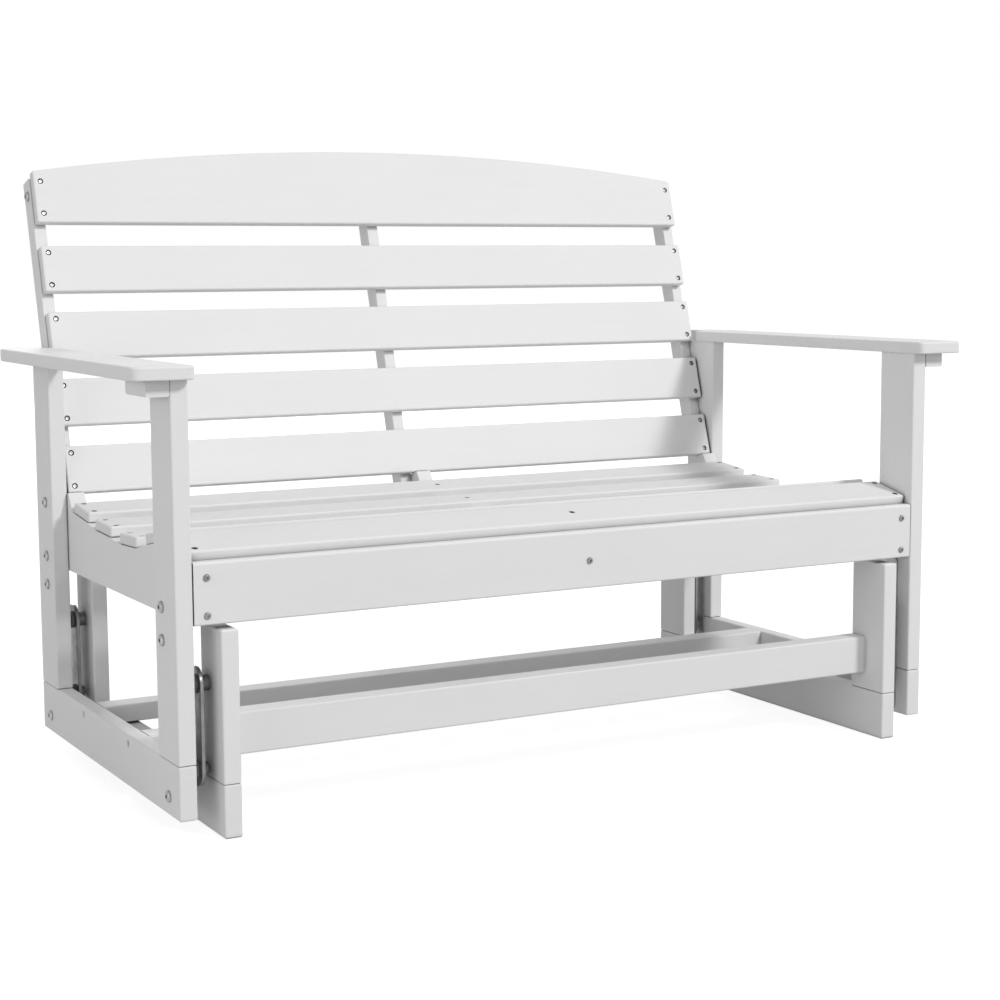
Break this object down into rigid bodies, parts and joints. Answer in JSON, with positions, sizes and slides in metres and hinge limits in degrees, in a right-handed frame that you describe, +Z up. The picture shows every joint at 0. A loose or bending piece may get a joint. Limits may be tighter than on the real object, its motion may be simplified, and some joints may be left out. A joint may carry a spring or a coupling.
{
  "type": "glider bench",
  "caption": "Slatted outdoor glider bench: a high-backed seat with flat armrests hung on swinging links from a low standing base.",
  "frame": {"origin": "floor level, under the middle of the bounding box", "axes": "+X across the bench to a facing viewer's right, +Y from the front to the back, +Z up"},
  "size_m": [1.2598, 0.701, 0.8711],
  "materials": {
    "frame_board": "white satin board",
    "base_board": "white satin board",
    "seat_board": "white satin board",
    "back_board": "white satin board",
    "arm_board": "white satin board",
    "link_steel": "satin zinc",
    "plate_steel": "satin grey",
    "pivot_steel": "satin zinc",
    "bolt_steel": "satin zinc",
    "screw_steel": "satin zinc",
    "bush_plastic": "black nylon",
    "dowel_wood": "plain hardwood"
  },
  "bodies": {
    "base": {"base_front_left_post": "base_board", "base_front_right_post": "base_board", "base_left_rail": "base_board", "base_post_screws": "screw_steel", "base_rear_left_post": "base_board", "base_rear_right_post": "base_board", "base_right_rail": "base_board", "base_stretcher": "base_board", "stretcher_screws": "screw_steel", "pivot_inserts": "pivot_steel", "upper_pivot_bolts": "pivot_steel"},
    "front_left_link": {"front_left_link": "link_steel", "front_left_bushes": "bush_plastic"},
    "front_right_link": {"front_right_link": "link_steel", "front_right_bushes": "bush_plastic"},
    "rear_left_link": {"rear_left_link": "link_steel", "rear_left_bushes": "bush_plastic"},
    "rear_right_link": {"rear_right_link": "link_steel", "rear_right_bushes": "bush_plastic"},
    "seat": {"apron": "frame_board", "apron_screws": "screw_steel", "arm_dowels": "dowel_wood", "back_screws": "screw_steel", "back_slat_2": "back_board", "back_slat_3": "back_board", "back_slat_4": "back_board", "back_slat_5": "back_board", "centre_seat_rail": "frame_board", "centre_stile": "frame_board", "frame_screws": "screw_steel", "front_crossbar": "frame_board", "front_left_post": "frame_board", "front_right_post": "frame_board", "front_seat_slat": "seat_board", "hanger_bolts": "bolt_steel", "hanger_plates": "plate_steel", "left_arm_cleat": "frame_board", "left_armrest": "arm_board", "left_lower_rail": "frame_board", "left_seat_rail": "frame_board", "left_stile": "frame_board", "lower_pivot_pins": "pivot_steel", "post_screws": "screw_steel", "rear_crossbar": "frame_board", "rear_left_post": "frame_board", "rear_right_post": "frame_board", "rear_seat_rail": "frame_board", "right_arm_cleat": "frame_board", "right_armrest": "arm_board", "right_lower_rail": "frame_board", "right_seat_rail": "frame_board", "right_stile": "frame_board", "seat_screws": "screw_steel", "seat_slat_1": "seat_board", "seat_slat_2": "seat_board", "seat_slat_3": "seat_board", "seat_slat_4": "seat_board", "side_bolts": "bolt_steel", "top_back_rail": "frame_board", "top_back_slat": "back_board"}
  },
  "joints": [
    {"name": "front_left_swing", "type": "hinge", "parent": "base", "child": "front_left_link", "pos_m": [-0.5384, -0.2898, 0.1873], "axis": [1, 0, 0], "range_deg": [-20, 20]},
    {"name": "seat_hang", "type": "hinge", "parent": "front_left_link", "child": "seat", "pos_m": [-0.5384, -0.2898, 0.0796], "axis": [1, 0, 0], "range_deg": [-20, 20]},
    {"name": "front_right_swing", "type": "hinge", "parent": "base", "child": "front_right_link", "pos_m": [0.5384, -0.2898, 0.1873], "axis": [1, 0, 0], "range_deg": [-20, 20]},
    {"name": "rear_left_swing", "type": "hinge", "parent": "base", "child": "rear_left_link", "pos_m": [-0.5384, 0.2172, 0.1873], "axis": [1, 0, 0], "range_deg": [-20, 20]},
    {"name": "rear_right_swing", "type": "hinge", "parent": "base", "child": "rear_right_link", "pos_m": [0.5384, 0.2172, 0.1873], "axis": [1, 0, 0], "range_deg": [-20, 20]}
  ],
  "couplings": [
    {"joint": "seat_hang", "follows": "front_left_swing", "ratio": -1},
    {"joint": "front_right_swing", "follows": "front_left_swing", "ratio": 1},
    {"joint": "rear_left_swing", "follows": "front_left_swing", "ratio": 1},
    {"joint": "rear_right_swing", "follows": "front_left_swing", "ratio": 1}
  ]
}
